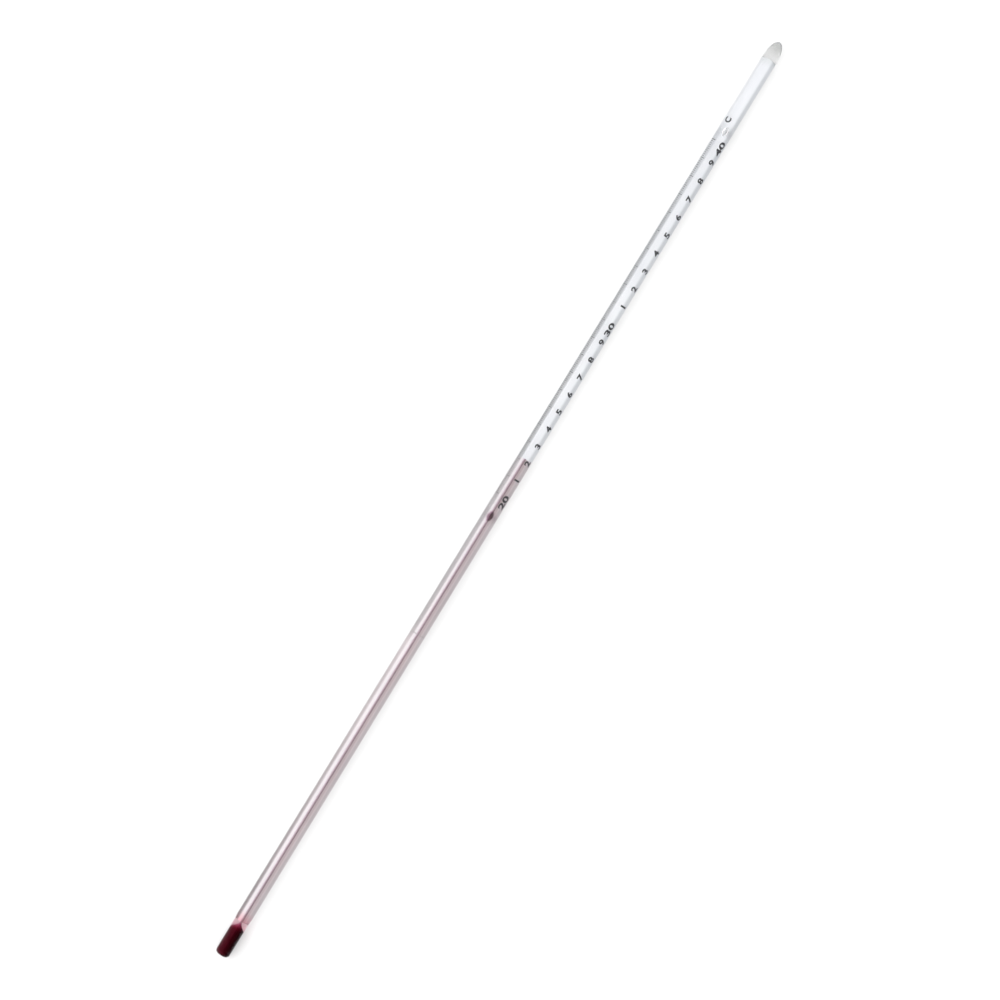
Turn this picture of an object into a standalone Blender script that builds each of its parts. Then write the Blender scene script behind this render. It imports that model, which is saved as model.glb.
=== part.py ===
"""Solid-stem spirit thermometer, 305 mm long, lying on its flat back.

World axes: +X runs from the bulb to the tip, +Z is up out of the front of the stem.
The origin is midway along the length, on the surface that the flat back rests on.
The round parts share one axis, AXIS_HEIGHT above that surface. Distances called
"from the bulb" are measured along the thermometer from the very end of the bulb.
"""
import math

import bmesh
import bpy

MM = 0.001

# Outside sizes
LENGTH = 305 * MM
STEM_RADIUS = 2.3 * MM
AXIS_HEIGHT = 2.2 * MM
NOSE_LENGTH = 5.4 * MM
BULB_RADIUS = 2.15 * MM
BULB_CORNER = 1.3 * MM
BULB_STRAIGHT = 7.6 * MM
WELD = 11.0 * MM
SHOULDER = 2.4 * MM

# Hollows in the glass
BULB_WALL = 0.25 * MM
BORE_RADIUS = 0.30 * MM
CONTRACTION_CENTRE = 146.4 * MM
CONTRACTION_RADIUS = 0.65 * MM
EXPANSION_CENTRE = 275.0 * MM
EXPANSION_RADIUS = 0.60 * MM
CHAMBER_HALF_LENGTH = 1.5 * MM

# Spirit
RUNNING_GAP = 0.05 * MM
JOIN_GAP = 0.04 * MM
FIXED_THREAD_TOP = 149.6 * MM
THREAD_END_LENGTH = 3.0 * MM
MENISCUS_DEPTH = 0.18 * MM

# White glass strip behind the bore
STRIP_WIDTH = 2.8 * MM
STRIP_THICKNESS = 0.6 * MM
STRIP_BASE = 0.65 * MM
STRIP_END_MARGIN = 5.6 * MM

# Fired enamel marks on the front
ENAMEL = 0.03 * MM
ENAMEL_GAP = 0.02 * MM
LINE_WIDTH = 0.16 * MM
DEGREE_LINE_ANGLES = (30, 74)
IMMERSION_LINE = 107.0 * MM
IMMERSION_ANGLES = (-74, 74)

# Scale: degrees Celsius, spaced as ethanol expands
LOW_DEGREE = 20
HIGH_DEGREE = 40
LOW_DISTANCE = 153.3 * MM
HIGH_DISTANCE = 271.4 * MM
READING = 22.15

# Smoothness
STEM_STEPS = 48
BORE_STEPS = 20
ARC_POINTS = 8
LINE_SEGMENTS = 8


def place(distance):
    """World X of a point that is this far from the bulb's end."""
    return distance - LENGTH / 2


def ethanol_volume(degree):
    """Volume of ethanol at a Celsius temperature, as a multiple of its volume at 0."""
    return 1 + 1.04139e-3 * degree + 7.836e-7 * degree**2 + 1.7618e-8 * degree**3


def scale_distance(degree):
    """Distance from the bulb at which the thread stands at this temperature."""
    low, high = ethanol_volume(LOW_DEGREE), ethanol_volume(HIGH_DEGREE)
    share = (ethanol_volume(degree) - low) / (high - low)
    return LOW_DISTANCE + share * (HIGH_DISTANCE - LOW_DISTANCE)


def arc(centre, radii, start, end, points=ARC_POINTS):
    """Points (radius, distance) of an elliptic arc, from one angle to another, in degrees.

    At 0 the arc is at its greatest radius, and at 90 at its greatest distance.
    """
    found = []
    for step in range(points + 1):
        angle = math.radians(start + (end - start) * step / points)
        found.append(
            (centre[0] + radii[0] * math.cos(angle), centre[1] + radii[1] * math.sin(angle))
        )
    return found


def chamber(centre, bore, radius, half_length):
    """A smooth swelling of a bore, as (radius, distance) points from its top to its foot."""
    found = []
    for step in range(ARC_POINTS + 1):
        along = 1 - 2 * step / ARC_POINTS
        swell = math.cos(along * math.pi / 2) ** 2
        found.append((bore + (radius - bore) * swell, centre + along * half_length))
    return found


def ease(start, end, points=ARC_POINTS):
    """Points (radius, distance) from start to end, level with the axis at both."""
    found = []
    for step in range(points + 1):
        along = step / points
        swell = (1 - math.cos(along * math.pi)) / 2
        found.append(
            (start[0] + (end[0] - start[0]) * swell, start[1] + (end[1] - start[1]) * along)
        )
    return found


def material(name, colour, roughness, metallic=0.0, alpha=1.0):
    made = bpy.data.materials.new(name)
    made.use_nodes = True
    shader = made.node_tree.nodes["Principled BSDF"]
    shader.inputs["Base Color"].default_value = (*colour, 1.0)
    shader.inputs["Roughness"].default_value = roughness
    shader.inputs["Metallic"].default_value = metallic
    shader.inputs["Alpha"].default_value = alpha
    return made


def collection(name):
    made = bpy.data.collections.new(name)
    bpy.context.scene.collection.children.link(made)
    return made


def mesh_object(name, mesh, group, finish=None):
    made = bpy.data.objects.new(name, mesh)
    group.objects.link(made)
    if finish and not mesh.materials:
        mesh.materials.append(finish)
    return made


def turned(name, profile, steps, group, finish=None):
    """A solid of revolution about the thermometer's axis.

    The profile is a list of (radius, distance from the bulb), and runs from its tip end
    down its outer side to its bulb end.
    """
    mesh = bpy.data.meshes.new(name)
    points = [(radius, 0, place(distance)) for radius, distance in profile]
    edges = [(i, i + 1) for i in range(len(points) - 1)]
    mesh.from_pydata(points, edges, [])
    made = mesh_object(name, mesh, group, finish)
    made.location.z = AXIS_HEIGHT
    made.rotation_euler.y = math.pi / 2
    screw = made.modifiers.new("turn", "SCREW")
    screw.axis = "Z"
    screw.angle = math.tau
    screw.steps = steps
    screw.render_steps = steps
    screw.use_merge_vertices = True
    screw.merge_threshold = 1e-6
    screw.use_smooth_shade = True
    return made


def box(name, low, high, group, finish=None):
    """A block from its lowest to its highest corner."""
    mesh = bpy.data.meshes.new(name)
    work = bmesh.new()
    bmesh.ops.create_cube(work, size=1)
    size = [b - a for a, b in zip(low, high)]
    middle = [(a + b) / 2 for a, b in zip(low, high)]
    bmesh.ops.scale(work, verts=work.verts, vec=size)
    bmesh.ops.translate(work, verts=work.verts, vec=middle)
    work.to_mesh(mesh)
    work.free()
    return mesh_object(name, mesh, group, finish)


def cut(piece, cutter):
    """Cut the cutter's shape out of the piece, and keep the cutter out of sight."""
    cutter.display_type = "WIRE"
    cutter.hide_render = True
    boolean = piece.modifiers.new("cut " + cutter.name, "BOOLEAN")
    boolean.operation = "DIFFERENCE"
    boolean.solver = "EXACT"
    boolean.object = cutter


def stem(group, cutters, finish):
    """The clear glass stem: round, with a flat back, a drawn nose and a blind bore."""
    nose = arc((0, LENGTH - NOSE_LENGTH), (STEM_RADIUS, NOSE_LENGTH), 90, 0)
    shoulder = ease((STEM_RADIUS, WELD + SHOULDER), (BULB_RADIUS, WELD))
    made = turned("stem_glass", nose + shoulder + [(0, WELD)], STEM_STEPS, group, finish)

    back = box(
        "flat_back_cutter",
        (place(-STEM_RADIUS), -2 * STEM_RADIUS, -2 * STEM_RADIUS),
        (place(LENGTH + STEM_RADIUS), 2 * STEM_RADIUS, 0),
        cutters,
    )
    cut(made, back)
    cut(made, bore_cutter(cutters))
    cut(made, strip_block("strip_slot_cutter", cutters, JOIN_GAP, WELD - 1 * MM))
    return made


def bore_cutter(cutters):
    """The capillary, with a swelling below the scale and another above it."""
    top = arc(
        (0, EXPANSION_CENTRE), (EXPANSION_RADIUS, CHAMBER_HALF_LENGTH), 90, 0
    )
    throat = ease(
        (EXPANSION_RADIUS, EXPANSION_CENTRE),
        (BORE_RADIUS, EXPANSION_CENTRE - CHAMBER_HALF_LENGTH),
    )
    lower = chamber(CONTRACTION_CENTRE, BORE_RADIUS, CONTRACTION_RADIUS, CHAMBER_HALF_LENGTH)
    mouth = [(BORE_RADIUS, WELD - 1 * MM), (0, WELD - 1 * MM)]
    return turned("bore_cutter", top + throat[1:] + lower + mouth, BORE_STEPS, cutters)


def strip_block(name, group, margin, start, finish=None):
    """A block the size of the white strip, larger by a margin on every side."""
    half = STRIP_WIDTH / 2 + margin
    return box(
        name,
        (place(start), -half, STRIP_BASE - margin),
        (
            place(LENGTH - STRIP_END_MARGIN + margin),
            half,
            STRIP_BASE + STRIP_THICKNESS + margin,
        ),
        group,
        finish,
    )


def bulb_side(inset):
    """The bulb's outline, inset by a wall: down its straight side and round its end."""
    radius = BULB_RADIUS - inset
    corner = BULB_CORNER - inset
    end = arc((radius - corner, BULB_CORNER), (corner, corner), 0, -90)
    return [(radius, BULB_STRAIGHT)] + end + [(0, inset)]


def bulb_hollow(neck, inset):
    """The outline of the bulb's cavity: a cone from the bore at the weld, then the bulb."""
    cone = ease((neck, WELD - JOIN_GAP), (BULB_RADIUS - inset, BULB_STRAIGHT))
    return cone[:-1] + bulb_side(inset)


def bulb(group, finish):
    """The thin bulb, open where its cavity meets the bore."""
    rim = [(BULB_RADIUS, WELD - JOIN_GAP)]
    inside = bulb_hollow(BORE_RADIUS, BULB_WALL)
    profile = rim + bulb_side(0) + inside[::-1] + rim
    return turned("bulb_glass", profile, STEM_STEPS, group, finish)


def spirit(group, finish):
    """The spirit in the bulb, and its thread in three lengths, the last of which moves."""
    inset = BULB_WALL + RUNNING_GAP
    thread = BORE_RADIUS - RUNNING_GAP
    reading = scale_distance(READING)
    moving_foot = reading - THREAD_END_LENGTH

    pool = [(0, WELD - JOIN_GAP)] + bulb_hollow(thread, inset)
    turned("bulb_spirit", pool, STEM_STEPS, group, finish)

    swelling = chamber(
        CONTRACTION_CENTRE, thread, CONTRACTION_RADIUS - RUNNING_GAP, CHAMBER_HALF_LENGTH
    )
    lower_foot = WELD + JOIN_GAP
    lower = (
        [(0, FIXED_THREAD_TOP), (thread, FIXED_THREAD_TOP)]
        + swelling
        + [(thread, lower_foot), (0, lower_foot)]
    )
    turned("lower_thread", lower, BORE_STEPS, group, finish)

    upper_foot = FIXED_THREAD_TOP + JOIN_GAP
    upper_top = moving_foot - JOIN_GAP
    upper = [(0, upper_top), (thread, upper_top), (thread, upper_foot), (0, upper_foot)]
    turned("upper_thread", upper, BORE_STEPS, group, finish)

    meniscus = arc((0, reading), (thread, -MENISCUS_DEPTH), 90, 0, 4)
    moving = meniscus + [(thread, moving_foot), (0, moving_foot)]
    return turned("thread_end", moving, BORE_STEPS, group, finish)


def enamel_mesh(name, angles, width, finish):
    """A strip that runs round the front of the stem, between two angles from its ridge."""
    mesh = bpy.data.meshes.new(name)
    work = bmesh.new()
    bmesh.ops.create_grid(work, x_segments=1, y_segments=LINE_SEGMENTS, size=0.5)
    radius = STEM_RADIUS + ENAMEL_GAP
    start, end = (math.radians(angle) for angle in angles)
    for vertex in work.verts:
        angle = start + (end - start) * (vertex.co.y + 0.5)
        vertex.co.x *= width
        vertex.co.y = radius * math.sin(angle)
        vertex.co.z = radius * math.cos(angle)
    bmesh.ops.recalc_face_normals(work, faces=work.faces)
    upward = sum(face.normal.z for face in work.faces)
    if upward < 0:
        bmesh.ops.reverse_faces(work, faces=work.faces)
    work.to_mesh(mesh)
    work.free()
    mesh.materials.append(finish)
    return mesh


def enamel_line(name, mesh, distance, group):
    """One fired line across the stem, on its own copy of the shared strip."""
    made = mesh_object(name, mesh, group)
    made.location = (place(distance), 0, AXIS_HEIGHT)
    thick = made.modifiers.new("thickness", "SOLIDIFY")
    thick.thickness = ENAMEL
    thick.offset = 1
    return made


def scale_lines(group, finish):
    """One line for each whole degree, and the immersion line below the scale."""
    mesh = enamel_mesh("degree_line", DEGREE_LINE_ANGLES, LINE_WIDTH, finish)
    for degree in range(LOW_DEGREE, HIGH_DEGREE + 1):
        enamel_line(f"degree_line_{degree}", mesh, scale_distance(degree), group)
    ring = enamel_mesh("immersion_line", IMMERSION_ANGLES, LINE_WIDTH, finish)
    enamel_line("immersion_line", ring, IMMERSION_LINE, group)


def main():
    for old in list(bpy.data.objects):
        bpy.data.objects.remove(old)

    clear = material("clear_glass", (0.93, 0.95, 0.96), 0.02, alpha=0.35)
    white = material("white_glass", (0.92, 0.92, 0.93), 0.25)
    red = material("red_spirit", (0.30, 0.02, 0.05), 0.08)
    black = material("black_enamel", (0.03, 0.03, 0.035), 0.5)

    group = collection("thermometer")
    cutters = collection("cutters")
    stem(group, cutters, clear)
    strip_block("white_strip", group, 0, WELD + JOIN_GAP, white)
    bulb(group, clear)
    spirit(group, red)
    scale_lines(group, black)


main()
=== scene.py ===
"""The looks of a solid-stem spirit thermometer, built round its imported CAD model.

World axes are the CAD model's: +X runs from the bulb to the tip, +Z is up out of the
front of the stem, and +Y is the side that carries the degree lines. Angles round the
stem are measured from its front ridge, positive towards +Y.
"""
import math

import bmesh
import bpy
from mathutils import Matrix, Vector

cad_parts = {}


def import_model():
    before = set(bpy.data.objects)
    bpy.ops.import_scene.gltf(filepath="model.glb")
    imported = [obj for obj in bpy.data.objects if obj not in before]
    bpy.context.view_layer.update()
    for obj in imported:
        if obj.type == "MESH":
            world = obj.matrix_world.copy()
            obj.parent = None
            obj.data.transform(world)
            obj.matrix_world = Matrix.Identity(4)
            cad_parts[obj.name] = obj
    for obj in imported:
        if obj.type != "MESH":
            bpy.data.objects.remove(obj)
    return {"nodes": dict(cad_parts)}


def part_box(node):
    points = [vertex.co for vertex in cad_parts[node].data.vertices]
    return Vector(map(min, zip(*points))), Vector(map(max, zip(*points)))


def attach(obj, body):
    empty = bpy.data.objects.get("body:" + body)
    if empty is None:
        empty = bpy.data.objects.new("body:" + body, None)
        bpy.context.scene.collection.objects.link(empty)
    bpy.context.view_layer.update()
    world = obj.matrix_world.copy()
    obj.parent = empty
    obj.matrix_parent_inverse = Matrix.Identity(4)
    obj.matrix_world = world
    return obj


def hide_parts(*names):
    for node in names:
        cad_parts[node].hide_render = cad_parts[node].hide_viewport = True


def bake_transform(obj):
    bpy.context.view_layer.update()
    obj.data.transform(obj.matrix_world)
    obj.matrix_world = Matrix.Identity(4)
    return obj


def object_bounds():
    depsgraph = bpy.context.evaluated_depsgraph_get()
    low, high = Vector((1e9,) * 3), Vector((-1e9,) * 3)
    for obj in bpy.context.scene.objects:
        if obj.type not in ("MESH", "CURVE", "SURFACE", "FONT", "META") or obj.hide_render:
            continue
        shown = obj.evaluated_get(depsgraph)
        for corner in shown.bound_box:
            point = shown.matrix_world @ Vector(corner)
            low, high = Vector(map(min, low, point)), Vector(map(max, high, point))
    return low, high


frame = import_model()
CAD_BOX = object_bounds()

MM = 0.001

# Sizes read from the CAD model
STEM_LOW, STEM_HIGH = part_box("stem_glass")
BULB_LOW, BULB_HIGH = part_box("bulb_glass")
POOL_LOW, POOL_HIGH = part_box("bulb_spirit")
LOWER_LOW, LOWER_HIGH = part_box("lower_thread")
END_LOW, END_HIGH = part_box("thread_end")
STRIP_LOW, STRIP_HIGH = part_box("white_strip")

STEM_RADIUS = (STEM_HIGH.y - STEM_LOW.y) / 2
BULB_RADIUS = (BULB_HIGH.y - BULB_LOW.y) / 2
POOL_RADIUS = (POOL_HIGH.y - POOL_LOW.y) / 2
SWELLING_RADIUS = (LOWER_HIGH.y - LOWER_LOW.y) / 2
THREAD_RADIUS = (END_HIGH.y - END_LOW.y) / 2
AXIS_HEIGHT = (BULB_LOW.z + BULB_HIGH.z) / 2
WELD = (STEM_LOW.x + BULB_HIGH.x) / 2

# Glass, where the CAD model's boxes don't say it
NOSE = 5.4 * MM
SHOULDER = 2.4 * MM
BULB_CORNER = 1.3 * MM
BULB_STRAIGHT = 7.6 * MM

# Chambers and spirit
SWELLING_CENTRE = 146.4 * MM
EXPANSION_CENTRE = 275.0 * MM
EXPANSION_RADIUS = 0.6 * MM
CHAMBER_HALF = 1.5 * MM
STRETCH_START = 120 * MM
HAIR = 0.003 * MM
MENISCUS = 0.18 * MM

# The white band's section: how much squarer than an ellipse it is, across and up
STRIP_SQUARENESS = (0.5, 0.75)

# Enamel marks
ENAMEL_GAP = 0.02 * MM
ENAMEL = 0.025 * MM
LOW_DEGREE = 20
HIGH_DEGREE = 40
TENTHS = 10
TENTH_WIDTH = 0.10 * MM
TENTH_ANGLES = (42, 70)
HALF_ANGLES = (36, 72)
FIGURE_HEIGHT = 1.9 * MM
FIGURE_ANGLE = -37
FIGURE_STRETCH = 1.3
TENS_STRETCH = 1.75
TENS_SETBACK = 1.6 * MM
UNIT_DISTANCE = 278.2 * MM
UNIT_ANGLE = 30
BOLDNESS = 0.035

# Fineness of the meshes
RING_POINTS = 96
CURVE_POINTS = 20
THREAD_STEPS = 60
STRIP_SIDES = 48
LINE_SEGMENTS = 8
TEXT_CURVES = 4
TEXT_CUTS = 7
MENISCUS_POINTS = 8
SPECK = 0.003 * MM
SHARP = math.radians(50)


def place(distance):
    """World X of a point that is this far from the bulb's end."""
    return BULB_LOW.x + distance


def line_x(degree):
    """Where the CAD model's line for this whole degree lies along the stem."""
    low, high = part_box(f"degree_line_{degree}")
    return (low.x + high.x) / 2


# ---------------------------------------------------------------- camera and light

PICTURE_ANGLE = 58.52
ELEVATION = 89.0
DISTANCE = 1.2
LENS = 151.6
SHIFT = (-0.001, -0.002)

HORIZON = 1.85
ZENITH = 1.48
LEFT_LEAN = 0.45
FLOOR_SIZE = 3
FLOOR_DROP = 0.02 * MM


def camera():
    data = bpy.data.cameras.new("camera")
    data.lens = LENS
    data.shift_x, data.shift_y = SHIFT
    data.clip_start = 0.01
    made = bpy.data.objects.new("camera", data)
    bpy.context.scene.collection.objects.link(made)
    low, high = CAD_BOX
    centre = (Vector(low) + Vector(high)) / 2
    turn = math.radians(PICTURE_ANGLE)
    rise = math.radians(ELEVATION)
    level = Vector((math.sin(turn), math.cos(turn), 0))
    sight = level * math.cos(rise) - Vector((0, 0, math.sin(rise)))
    made.location = centre - sight * DISTANCE
    made.rotation_euler = sight.to_track_quat("-Z", "Y").to_euler()
    bpy.context.scene.camera = made


def softbox(name, location, size, power):
    """A rectangular light that faces the middle of the thermometer."""
    data = bpy.data.lights.new(name, "AREA")
    data.shape = "RECTANGLE"
    data.size, data.size_y = size
    data.energy = power
    made = bpy.data.objects.new(name, data)
    bpy.context.scene.collection.objects.link(made)
    made.location = location
    made.rotation_euler = (-Vector(location)).to_track_quat("-Z", "Y").to_euler()


def world():
    """A light tent: a little brighter low down, and brighter on the +Y side."""
    made = bpy.data.worlds.new("studio")
    bpy.context.scene.world = made
    made.use_nodes = True
    nodes, links = made.node_tree.nodes, made.node_tree.links
    coords = nodes.new("ShaderNodeTexCoord")
    split = nodes.new("ShaderNodeSeparateXYZ")
    product = nodes.new("ShaderNodeMath")
    product.operation = "MULTIPLY"
    links.new(coords.outputs["Generated"], split.inputs[0])
    spans = (("Z", 0, 1, HORIZON, ZENITH), ("Y", -1, 1, 1 - LEFT_LEAN, 1 + LEFT_LEAN))
    for socket, (axis, *numbers) in zip(product.inputs, spans):
        span = nodes.new("ShaderNodeMapRange")
        for key, number in zip(("From Min", "From Max", "To Min", "To Max"), numbers):
            span.inputs[key].default_value = number
        links.new(split.outputs[axis], span.inputs["Value"])
        links.new(span.outputs["Result"], socket)
    links.new(product.outputs[0], nodes["Background"].inputs["Strength"])
    nodes["Background"].inputs["Color"].default_value = (1, 1, 1, 1)


def floor(finish):
    mesh = bpy.data.meshes.new("floor")
    work = bmesh.new()
    bmesh.ops.create_grid(work, x_segments=1, y_segments=1, size=FLOOR_SIZE)
    work.to_mesh(mesh)
    work.free()
    mesh.materials.append(finish)
    made = bpy.data.objects.new("floor", mesh)
    bpy.context.scene.collection.objects.link(made)
    made.location.z = -FLOOR_DROP


# ---------------------------------------------------------------- materials

class Finish:
    """A node material, with short calls for its nodes and links."""

    def __init__(self, name, **values):
        self.material = bpy.data.materials.new(name)
        self.material.use_nodes = True
        self.tree = self.material.node_tree
        self.shader = self.tree.nodes["Principled BSDF"]
        self.output = self.tree.nodes["Material Output"]
        for key, value in values.items():
            self.shader.inputs[key.replace("_", " ")].default_value = value

    def node(self, kind, **settings):
        made = self.tree.nodes.new("ShaderNode" + kind)
        for key, value in settings.items():
            setattr(made, key, value)
        return made

    def link(self, source, target):
        self.tree.links.new(source, target)

    def position(self, scale=(1, 1, 1)):
        """The point on the piece at rest, in metres, stretched by a scale."""
        coords = self.node("TexCoord")
        mapping = self.node("Mapping")
        mapping.inputs["Scale"].default_value = scale
        self.link(coords.outputs["Object"], mapping.inputs["Vector"])
        return mapping.outputs["Vector"]

    def noise(self, scale, stretch=(1, 1, 1), detail=3.0):
        made = self.node("TexNoise")
        made.inputs["Scale"].default_value = scale
        made.inputs["Detail"].default_value = detail
        self.link(self.position(stretch), made.inputs["Vector"])
        return made.outputs["Fac"]

    def ramp(self, value, *stops):
        """A colour ramp over a value, from (position, colour) stops."""
        made = self.node("ValToRGB")
        elements = made.color_ramp.elements
        while len(elements) < len(stops):
            elements.new(0.5)
        for element, (position, colour) in zip(elements, stops):
            element.position = position
            element.color = (*colour, 1)
        self.link(value, made.inputs["Fac"])
        return made.outputs["Color"]

    def span(self, value, low, high, start=0.0, end=1.0, smooth=True):
        """A value carried from one range to another."""
        made = self.node("MapRange", interpolation_type="SMOOTHSTEP" if smooth else "LINEAR")
        for key, number in zip(("From Min", "From Max", "To Min", "To Max"), (low, high, start, end)):
            made.inputs[key].default_value = number
        self.link(value, made.inputs["Value"])
        return made.outputs["Result"]

    def axes(self):
        split = self.node("SeparateXYZ")
        self.link(self.position(), split.inputs[0])
        return split.outputs

    def mix(self, share, first, second, blend="MIX"):
        """Two colours mixed by a share; each is a link or a plain colour."""
        made = self.node("Mix", data_type="RGBA", blend_type=blend)
        for value, socket in ((share, made.inputs[0]), (first, made.inputs[6]), (second, made.inputs[7])):
            if isinstance(value, (tuple, float)):
                socket.default_value = (*value, 1) if isinstance(value, tuple) else value
            else:
                self.link(value, socket)
        return made.outputs[2]

    def calculate(self, operation, first, second):
        made = self.node("Math", operation=operation)
        self.link(first, made.inputs[0])
        self.link(second, made.inputs[1])
        return made.outputs[0]

    def tinted(self, share, colour, tint):
        """A colour that a share of a tint is multiplied into."""
        return self.mix(share, colour, self.mix(1.0, colour, tint, "MULTIPLY"))

    def bump(self, height, distance, strength=1.0):
        made = self.node("Bump")
        made.inputs["Strength"].default_value = strength
        made.inputs["Distance"].default_value = distance
        self.link(height, made.inputs["Height"])
        self.link(made.outputs["Normal"], self.shader.inputs["Normal"])


FLOOR_GREYS = ((0, (0.55, 0.55, 0.55)), (1, (0.58, 0.58, 0.58)))
BLACKS = ((0.3, (0.008, 0.008, 0.011)), (0.7, (0.028, 0.028, 0.032)))
WORN_GREYS = ((0.3, (0.20, 0.18, 0.185)), (0.7, (0.42, 0.39, 0.395)))

# Clear glass: a painted pink glow beside the bulb and painted grey shade in the nose, and how its
# reflections are weakened on the stem and the bulb
NOSE_PAINTED_SHADE = (0.62, 0.63, 0.62)
GLOW_PINK = (0.98, 0.74, 0.79)
GLOW_SPAN = (WELD - 1.5 * MM, WELD + 4.0 * MM)
STEM_SHINE = (0.7, 0.7, 0.7)
BULB_SHINE = (0.12, 0.03, 0.05)

# Spirit: what a length of it does to light, and the painted shade that darkens its -Y side
POOL_COLOUR = (0.68, 0.0, 0.30)
POOL_DENSITY = 1750.0
THREAD_COLOUR = (0.60, 0.52, 0.50)
THREAD_DENSITY = 2600.0
CHAMBER_COLOUR = (0.60, 0.47, 0.50)
CHAMBER_DENSITY = 2000.0
SPIRIT_PAINTED_SHADE = ((0.2, (0.05, 0.04, 0.05)), (0.45, (0.60, 0.50, 0.55)), (0.55, (1.0, 0.9, 1.0)))

# White glass: its greys, the light and shade painted on it, and where each starts and ends
OPAL_DARK = (0.78, 0.795, 0.83)
OPAL_LIGHT = (0.84, 0.85, 0.875)
PAINTED_PINK_SHADOW = (0.74, 0.67, 0.67)
PAINTED_PINK_LIGHT = (1.08, 1.02, 1.01)
THREAD_SHADOW = (0.68, 0.64, 0.65)
PAINTED_WELD_GLOW = (1.0, 0.70, 0.74)
TIP_SHADE = (0.86, 0.87, 0.86)
RIGHT_SHADE = (0.62, 0.63, 0.645)
LEFT_SHADE = (
    (0.03, (0.29, 0.26, 0.265)),
    (0.34, (0.72, 0.68, 0.68)),
    (0.36, (0.52, 0.51, 0.51)),
    (0.80, (0.60, 0.61, 0.62)),
    (0.90, (0.76, 0.77, 0.78)),
    (0.91, (1.0, 1.0, 1.0)),
)
READING_FADE = (END_HIGH.x - 0.3 * MM, END_HIGH.x + 0.2 * MM)
RIGHT_HALF = (0.0, -0.35 * MM)
SHADOW_START = (0.0, -0.14 * MM)
SHADOW_END = (-0.38 * MM, -0.66 * MM)
RIGHT_EDGE = (-0.35 * MM, -0.85 * MM)
LEFT_EDGE = (0.50 * MM, 0.84 * MM)
LEFT_WIDENS = (place(95 * MM), place(115 * MM))
LEFT_WIDENS_BY = (-0.04 * MM, 0.10 * MM)
WELD_FADE = (STRIP_LOW.x, STRIP_LOW.x + 4.0 * MM)
TIP_FADE = (STRIP_HIGH.x - 3.0 * MM, STRIP_HIGH.x)


def floor_finish():
    """Matt white board, lit a little from below."""
    made = Finish(
        "floor",
        Roughness=0.8,
        Specular_IOR_Level=0.0,
        Emission_Color=(1, 1, 1, 1),
        Emission_Strength=0.2,
    )
    grain = made.noise(scale=40)
    made.link(made.ramp(grain, *FLOOR_GREYS), made.shader.inputs["Base Color"])
    return made.material


def glass_finish(name, shine):
    """Clear drawn glass with faint streaks, a painted pink glow beside the bulb and painted grey shade in
    the solid nose.
    """
    made = Finish(name, IOR=1.5, Transmission_Weight=1.0, Specular_Tint=(*shine, 1))
    streaks = made.noise(scale=900, stretch=(0.02, 1, 1))
    x, _, _ = made.axes()
    # Painted grey shade in the solid nose, and a painted pink glow of the spirit's light beside the bulb.
    nose = made.span(x, STRIP_HIGH.x, STEM_HIGH.x)
    glow = made.span(x, *GLOW_SPAN, start=1, end=0)
    tint = made.mix(nose, (1.0, 1.0, 1.0), NOSE_PAINTED_SHADE)
    made.link(made.mix(glow, tint, GLOW_PINK), made.shader.inputs["Base Color"])
    made.link(made.span(streaks, 0.3, 0.7, start=0.0, end=0.02), made.shader.inputs["Roughness"])
    made.bump(streaks, distance=0.002 * MM, strength=0.08)
    return made.material


def opal_finish():
    """Milky white glass with light and shade painted on by position: a painted pink light and a painted
    pink shadow from the spirit below the reading, a painted shadow beside the thread, painted shade along
    both edges and near the tip, and a painted pink glow near the bulb.
    """
    made = Finish("opal_glass", Roughness=0.35)
    x, y, _ = made.axes()
    cloud = made.noise(scale=420, stretch=(0.12, 1, 1))
    streak = made.noise(scale=2600, stretch=(0.03, 1, 1))
    body = made.ramp(cloud, (0.3, OPAL_DARK), (0.7, OPAL_LIGHT))

    below_reading = made.span(x, *READING_FADE, start=1, end=0)
    # Painted pink light from the spirit, lightening the band below the reading.
    body = made.tinted(below_reading, body, PAINTED_PINK_LIGHT)

    # Painted pink shadow of the spirit over the right half below the reading, broken up by streaks.
    pink_shadow_share = made.calculate("MULTIPLY", below_reading, made.span(y, *RIGHT_HALF))
    streaky = made.span(streak, 0.2, 0.8, start=0.8, end=1.0)
    body = made.tinted(made.calculate("MULTIPLY", pink_shadow_share, streaky), body, PAINTED_PINK_SHADOW)

    # Painted shadow of the thread beside it, below the reading.
    shadow_end = made.span(y, *SHADOW_END, start=1, end=0)
    shadow = made.calculate("MULTIPLY", made.span(y, *SHADOW_START), shadow_end)
    shadow = made.calculate("MULTIPLY", shadow, below_reading)
    body = made.tinted(shadow, body, THREAD_SHADOW)

    body = made.tinted(made.span(y, *RIGHT_EDGE), body, RIGHT_SHADE)

    along = made.span(x, BULB_LOW.x, STEM_HIGH.x, smooth=False)
    widening = made.span(x, *LEFT_WIDENS, *LEFT_WIDENS_BY)
    left_edge = made.span(made.calculate("ADD", y, widening), *LEFT_EDGE)
    body = made.tinted(left_edge, body, made.ramp(along, *LEFT_SHADE))

    # Painted pink glow of the spirit's light at the end of the band near the bulb.
    body = made.tinted(made.span(x, *WELD_FADE, start=1, end=0), body, PAINTED_WELD_GLOW)
    body = made.tinted(made.span(x, *TIP_FADE), body, TIP_SHADE)
    made.link(body, made.shader.inputs["Base Color"])
    return made.material


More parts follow.
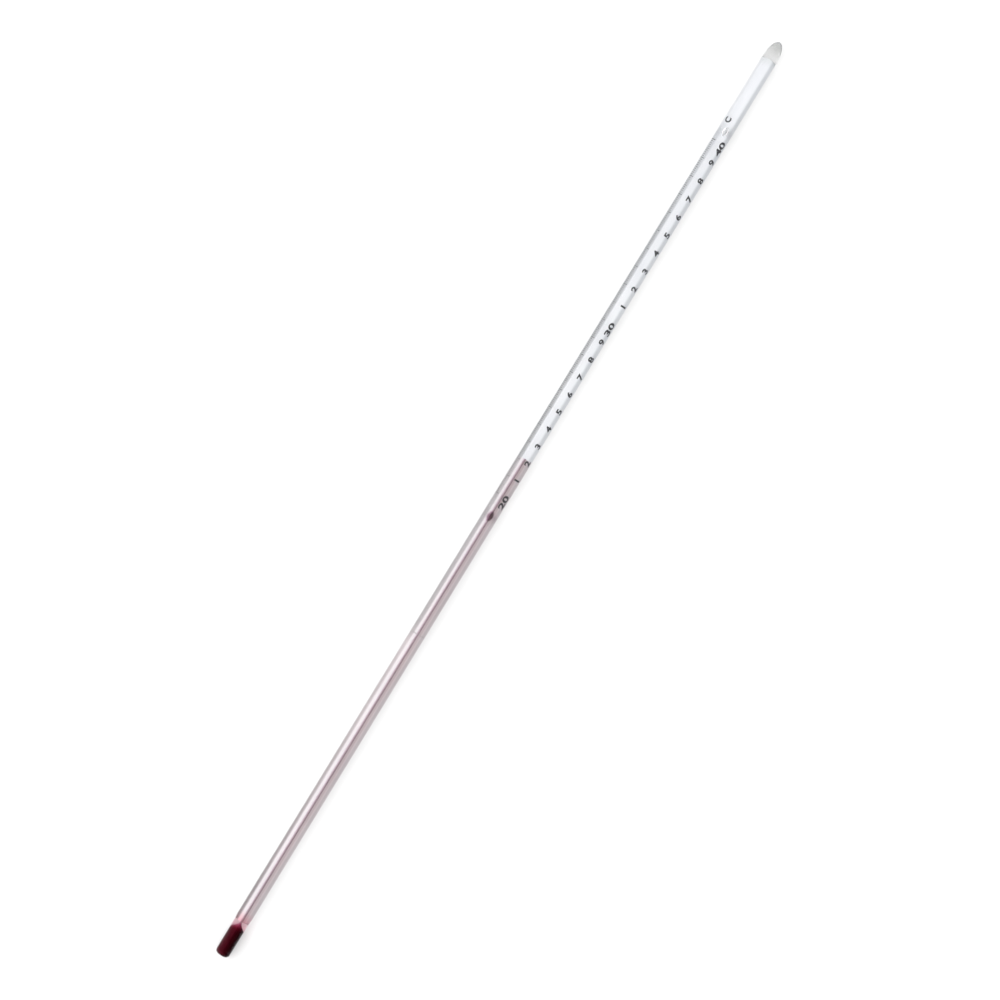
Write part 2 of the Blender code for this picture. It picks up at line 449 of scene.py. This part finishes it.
def spirit_finish(name, colour, density):
    """Clear red liquid: what is thick looks nearly black, what is thin looks pink. Painted shade darkens
    its -Y side.
    """
    made = Finish(name, Roughness=0.0, IOR=1.0, Transmission_Weight=1.0, Specular_IOR_Level=0.0)
    _, y, _ = made.axes()
    # Painted shade: the base colour darkens across the spirit towards -Y.
    side = made.span(y, -POOL_RADIUS, POOL_RADIUS, smooth=False)
    made.link(made.ramp(side, *SPIRIT_PAINTED_SHADE), made.shader.inputs["Base Color"])
    absorb = made.node("VolumeAbsorption")
    absorb.inputs["Color"].default_value = (*colour, 1)
    absorb.inputs["Density"].default_value = density
    made.link(absorb.outputs[0], made.output.inputs["Volume"])
    return made.material


def enamel_finish(name, shades):
    """Fired enamel, a little uneven."""
    made = Finish(name, Roughness=0.4)
    grain = made.noise(scale=6000)
    made.link(made.ramp(grain, *shades), made.shader.inputs["Base Color"])
    made.link(made.span(grain, 0.2, 0.8, start=0.35, end=0.6), made.shader.inputs["Roughness"])
    return made.material


def hollow_finish():
    """Air inside the glass, so its index is that of air over that of glass."""
    made = Finish("hollow", IOR=1 / 1.5, Transmission_Weight=1.0, Base_Color=(0.80, 0.80, 0.80, 1))
    streaks = made.noise(scale=900)
    made.link(made.span(streaks, 0.3, 0.7, start=0.0, end=0.05), made.shader.inputs["Roughness"])
    return made.material


# ---------------------------------------------------------------- shapes

def add(name, mesh, finish, body="thermometer"):
    mesh.materials.append(finish)
    made = bpy.data.objects.new(name, mesh)
    bpy.context.scene.collection.objects.link(made)
    if body:
        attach(made, body)
    return made


def turned(name, profile, flat=False, sleeve=False):
    """A closed solid turned about the thermometer's axis from (x, radius) points.

    The profile starts and ends on the axis, or closes on itself for a sleeve. A flat
    solid is pressed flat where it would go below the surface the thermometer lies on.
    """
    lowest = 0.0 if flat else -1.0
    mesh = bpy.data.meshes.new(name)
    work = bmesh.new()
    rings = []
    for x, radius in (profile if sleeve else profile[1:-1]):
        ring = []
        for step in range(RING_POINTS):
            angle = math.tau * step / RING_POINTS
            height = AXIS_HEIGHT + radius * math.cos(angle)
            ring.append(work.verts.new((x, radius * math.sin(angle), max(height, lowest))))
        rings.append(ring)
    for near, far in zip(rings, rings[1:] + rings[:1] if sleeve else rings[1:]):
        for step in range(RING_POINTS):
            after = (step + 1) % RING_POINTS
            work.faces.new((near[step], near[after], far[after], far[step]))
    caps = () if sleeve else ((profile[0], rings[0]), (profile[-1], rings[-1]))
    for (x, _), ring in caps:
        point = work.verts.new((x, 0, AXIS_HEIGHT))
        for step in range(RING_POINTS):
            work.faces.new((point, ring[step], ring[(step + 1) % RING_POINTS]))
    bmesh.ops.recalc_face_normals(work, faces=work.faces)
    for face in work.faces:
        face.smooth = True
    work.to_mesh(mesh)
    work.free()
    mesh.set_sharp_from_angle(angle=SHARP)
    return mesh


def ease(start, end, count=CURVE_POINTS):
    """Points (x, radius) from start to end, level with the axis at both."""
    points = []
    for step in range(count + 1):
        along = step / count
        swell = (1 - math.cos(along * math.pi)) / 2
        points.append((start[0] + (end[0] - start[0]) * along, start[1] + (end[1] - start[1]) * swell))
    return points


def rounded(centre, lengths, start, end, count=CURVE_POINTS):
    """Points (x, radius) of an elliptic arc. At 0 degrees it is widest, at 90 furthest along."""
    points = []
    for step in range(count + 1):
        angle = math.radians(start + (end - start) * step / count)
        points.append((centre[0] + lengths[0] * math.sin(angle), centre[1] + lengths[1] * math.cos(angle)))
    return points


def bulb_end(inset):
    """The bulb's outline (x, radius) from its very end to its straight side, inset by a wall."""
    corner = BULB_CORNER - inset
    centre = (BULB_LOW.x + BULB_CORNER, BULB_RADIUS - BULB_CORNER)
    turn = rounded(centre, (corner, corner), -90, 0)
    return [(BULB_LOW.x + inset, 0)] + turn + [(place(BULB_STRAIGHT), BULB_RADIUS - inset)]


def swelling(centre, start, widest):
    """The outline (x, radius) of a chamber that swells smoothly from a start radius."""
    points = []
    for step in range(CURVE_POINTS + 1):
        along = 2 * step / CURVE_POINTS - 1
        share = 1 - along ** 2
        points.append((place(centre) + along * CHAMBER_HALF, start + (widest - start) * share))
    return points


# ---------------------------------------------------------------- glass and spirit

def glass_body(finish, bulb_finish):
    """The stem, drawn to a nose, and the bulb fused to it: one skin of clear glass."""
    bulb = bulb_end(0)
    shoulder = ease((WELD, BULB_RADIUS), (WELD + SHOULDER, STEM_RADIUS))
    nose = rounded((STEM_HIGH.x - NOSE, 0), (NOSE, STEM_RADIUS), 0, 90)
    nose[-1] = (STEM_HIGH.x, 0)
    made = add("glass_body", turned("glass_body", bulb + shoulder + nose, flat=True), finish)
    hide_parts("stem_glass", "bulb_glass")
    made.data.materials.append(bulb_finish)
    for face in made.data.polygons:
        if face.center.x < WELD:
            face.material_index = 1


def spirit_pool(finish):
    """The bulbful of spirit, and the cone in which it narrows to the thread."""
    pool = bulb_end(BULB_RADIUS - POOL_RADIUS)
    cone = ease((place(BULB_STRAIGHT), POOL_RADIUS), (POOL_HIGH.x, THREAD_RADIUS))
    profile = pool[:-1] + cone + [(POOL_HIGH.x, 0)]
    made = add("spirit_pool", turned("spirit_pool", profile), finish)
    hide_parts("bulb_spirit")


def spirit_foot(finish):
    """The foot of the thread, which never moves."""
    start = LOWER_LOW.x
    end = place(STRETCH_START) - HAIR
    profile = [(start, 0), (start, THREAD_RADIUS), (end, THREAD_RADIUS), (end, 0)]
    made = add("spirit_foot", turned("spirit_foot", profile), finish)
    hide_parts("lower_thread")


def contraction_chamber(finish):
    """The wider ring of spirit round the thread where the bore swells. It never moves."""
    outside = swelling(SWELLING_CENTRE, THREAD_RADIUS + 2 * HAIR, SWELLING_RADIUS)
    inside = [(outside[-1][0], THREAD_RADIUS + HAIR), (outside[0][0], THREAD_RADIUS + HAIR)]
    mesh = turned("contraction_chamber", outside + inside, sleeve=True)
    made = add("contraction_chamber", mesh, finish)
    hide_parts("lower_thread")


def expansion_chamber(finish):
    """The empty chamber above the scale, seen as a small hollow in the glass."""
    outside = swelling(EXPANSION_CENTRE, 0.0, EXPANSION_RADIUS)
    add("expansion_chamber", turned("expansion_chamber", outside), finish)


def spirit_thread(finish):
    """The part of the thread that stretches as the spirit rises."""
    start = place(STRETCH_START)
    end = END_LOW.x - HAIR
    profile = [(start, 0)]
    for step in range(THREAD_STEPS + 1):
        profile.append((start + (end - start) * step / THREAD_STEPS, THREAD_RADIUS))
    profile.append((end, 0))
    made = add("spirit_thread", turned("spirit_thread", profile), finish, body=None)
    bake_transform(made)
    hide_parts("upper_thread")


def thread_top(finish):
    """The top of the thread, with its hollow meniscus."""
    foot = END_LOW.x
    hollow = rounded((END_HIGH.x, 0), (-MENISCUS, THREAD_RADIUS), 0, 90, MENISCUS_POINTS)
    profile = [(foot, 0), (foot, THREAD_RADIUS)] + hollow
    profile[-1] = (END_HIGH.x - MENISCUS, 0)
    made = add("thread_top", turned("thread_top", profile), finish, body="thread_end")
    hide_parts("thread_end")


def opal_strip(finish):
    """The white glass band behind the bore: a lens in section, with rounded ends."""
    half = (STRIP_HIGH.y - STRIP_LOW.y) / 2
    rise = (STRIP_HIGH.z - STRIP_LOW.z) / 2
    middle = (STRIP_HIGH.z + STRIP_LOW.z) / 2
    mesh = bpy.data.meshes.new("opal_strip")
    work = bmesh.new()
    rings = []
    ends = []
    for step in range(CURVE_POINTS + 1):
        angle = math.pi / 2 * step / CURVE_POINTS
        ends.append((half * (1 - math.cos(angle)), math.sin(angle)))
    length = STRIP_HIGH.x - STRIP_LOW.x
    sections = ends + [(length - along, width) for along, width in reversed(ends)]
    for along, width in sections[1:-1]:
        ring = []
        for side in range(STRIP_SIDES):
            angle = math.tau * side / STRIP_SIDES
            across, up = (
                math.copysign(abs(part) ** power, part)
                for part, power in zip((math.cos(angle), math.sin(angle)), STRIP_SQUARENESS)
            )
            ring.append(work.verts.new((STRIP_LOW.x + along, half * width * across, middle + rise * up)))
        rings.append(ring)
    for near, far in zip(rings, rings[1:]):
        for side in range(STRIP_SIDES):
            after = (side + 1) % STRIP_SIDES
            work.faces.new((near[side], near[after], far[after], far[side]))
    work.faces.new(rings[0])
    work.faces.new(rings[-1])
    bmesh.ops.recalc_face_normals(work, faces=work.faces)
    for face in work.faces:
        face.smooth = len(face.verts) == 4
    work.to_mesh(mesh)
    work.free()
    made = add("opal_strip", mesh, finish)
    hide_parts("white_strip")


# ---------------------------------------------------------------- enamel marks

def on_stem(x, angle, lift):
    """A point over the stem: at x, this far round from the front ridge in radians."""
    radius = STEM_RADIUS + ENAMEL_GAP + lift
    return (x, radius * math.sin(angle), AXIS_HEIGHT + radius * math.cos(angle))


def bent_lines(name, places, angles, width, finish):
    """Thin enamel lines round the stem, all in one piece of separate solids."""
    mesh = bpy.data.meshes.new(name)
    work = bmesh.new()
    start, end = (math.radians(angle) for angle in angles)
    corners = ((-width / 2, 0), (width / 2, 0), (width / 2, ENAMEL), (-width / 2, ENAMEL))
    for x in places:
        rows = []
        for step in range(LINE_SEGMENTS + 1):
            angle = start + (end - start) * step / LINE_SEGMENTS
            rows.append([work.verts.new(on_stem(x + shift, angle, lift)) for shift, lift in corners])
        for near, far in zip(rows, rows[1:]):
            for side in range(4):
                after = (side + 1) % 4
                work.faces.new((near[side], near[after], far[after], far[side]))
        work.faces.new(rows[0])
        work.faces.new(rows[-1])
    bmesh.ops.recalc_face_normals(work, faces=work.faces)
    work.to_mesh(mesh)
    work.free()
    return add(name, mesh, finish)


def fine_lines(finish):
    """Tenth-degree lines between the CAD model's whole degrees, the halves longer."""
    tenths, halves = [], []
    for degree in range(LOW_DEGREE, HIGH_DEGREE):
        low, high = line_x(degree), line_x(degree + 1)
        for tenth in range(1, TENTHS):
            spot = low + (high - low) * tenth / TENTHS
            (halves if tenth == TENTHS // 2 else tenths).append(spot)
    bent_lines("tenth_lines", tenths, TENTH_ANGLES, TENTH_WIDTH, finish)
    bent_lines("half_lines", halves, HALF_ANGLES, TENTH_WIDTH, finish)


def flat_text(words, height, stretch):
    """A text as a flat solid about its own middle: this high, and stretched in its width.

    The nine is the six with half a turn, as in most plain type.
    """
    half_turn = words == "9"
    data = bpy.data.curves.new(words, "FONT")
    data.body = "6" if half_turn else words
    data.resolution_u = TEXT_CURVES
    data.extrude = 0.5
    data.offset = BOLDNESS
    holder = bpy.data.objects.new(words, data)
    bpy.context.scene.collection.objects.link(holder)
    bpy.context.view_layer.update()
    view = bpy.context.evaluated_depsgraph_get()
    mesh = bpy.data.meshes.new_from_object(holder.evaluated_get(view))
    bpy.data.objects.remove(holder)
    bpy.data.curves.remove(data)
    work = bmesh.new()
    work.from_mesh(mesh)
    bpy.data.meshes.remove(mesh)
    bmesh.ops.remove_doubles(work, verts=work.verts, dist=1e-5)
    xs = [vert.co.x for vert in work.verts]
    ys = [vert.co.y for vert in work.verts]
    scale = height / (max(ys) - min(ys))
    if half_turn:
        scale = -scale
    for vert in work.verts:
        vert.co.x = (vert.co.x - (min(xs) + max(xs)) / 2) * scale * stretch
        vert.co.y = (vert.co.y - (min(ys) + max(ys)) / 2) * scale
    for cut in range(1, TEXT_CUTS):
        bmesh.ops.bisect_plane(
            work,
            geom=work.verts[:] + work.edges[:] + work.faces[:],
            plane_co=(0, height * (cut / TEXT_CUTS - 0.5), 0),
            plane_no=(0, 1, 0),
        )
    bmesh.ops.dissolve_degenerate(work, edges=work.edges, dist=SPECK)
    bmesh.ops.triangulate(work, faces=work.faces[:])
    bmesh.ops.dissolve_degenerate(work, edges=work.edges, dist=SPECK)
    return work


def wrapped_text(target, words, x, angle, height, stretch=1.0):
    """Add a text to the target mesh, wrapped round the stem with its tops towards +Y."""
    work = flat_text(words, height, stretch)
    middle = math.radians(angle)
    for vert in work.verts:
        turn = middle + vert.co.y / STEM_RADIUS
        lift = ENAMEL if vert.co.z > 0 else 0.0
        vert.co = on_stem(x + vert.co.x, turn, lift)
    piece = bpy.data.meshes.new("text")
    work.to_mesh(piece)
    work.free()
    target.from_mesh(piece)
    bpy.data.meshes.remove(piece)


def figures(finish):
    """The last figure of every degree beside its line, and the tens in full."""
    work = bmesh.new()
    for degree in range(LOW_DEGREE, HIGH_DEGREE + 1):
        if degree % TENTHS == 0:
            middle = line_x(degree) - TENS_SETBACK
            wrapped_text(work, str(degree), middle, FIGURE_ANGLE, FIGURE_HEIGHT, TENS_STRETCH)
        else:
            unit = str(degree % TENTHS)
            wrapped_text(work, unit, line_x(degree), FIGURE_ANGLE, FIGURE_HEIGHT, FIGURE_STRETCH)
    add_text("figures", work, finish)
    work = bmesh.new()
    wrapped_text(work, "C", place(UNIT_DISTANCE), UNIT_ANGLE, FIGURE_HEIGHT)
    add_text("unit_letter", work, finish)


def add_text(name, work, finish):
    mesh = bpy.data.meshes.new(name)
    bmesh.ops.recalc_face_normals(work, faces=work.faces)
    work.to_mesh(mesh)
    work.free()
    add(name, mesh, finish)


def carried_nodes(finish, worn):
    """The CAD model's own enamel lines keep their shape and take the enamel's look."""
    for name, node in frame["nodes"].items():
        if "line" in name:
            node.data.materials.clear()
            node.data.materials.append(worn if name == "immersion_line" else finish)


def build():
    floor(floor_finish())
    enamel = enamel_finish("black_enamel", BLACKS)
    worn = enamel_finish("worn_enamel", WORN_GREYS)
    thread = spirit_finish("red_thread", THREAD_COLOUR, THREAD_DENSITY)
    glass_body(glass_finish("clear_glass", STEM_SHINE), glass_finish("bulb_glass", BULB_SHINE))
    opal_strip(opal_finish())
    spirit_pool(spirit_finish("red_spirit", POOL_COLOUR, POOL_DENSITY))
    spirit_foot(thread)
    contraction_chamber(spirit_finish("chamber_spirit", CHAMBER_COLOUR, CHAMBER_DENSITY))
    expansion_chamber(hollow_finish())
    spirit_thread(thread)
    thread_top(thread)
    fine_lines(enamel)
    figures(enamel)
    carried_nodes(enamel, worn)


bpy.context.scene.view_settings.view_transform = "Standard"
camera()
world()
softbox("left_light", location=(-0.35, 0.62, 0.75), size=(1.0, 0.7), power=3)
build()
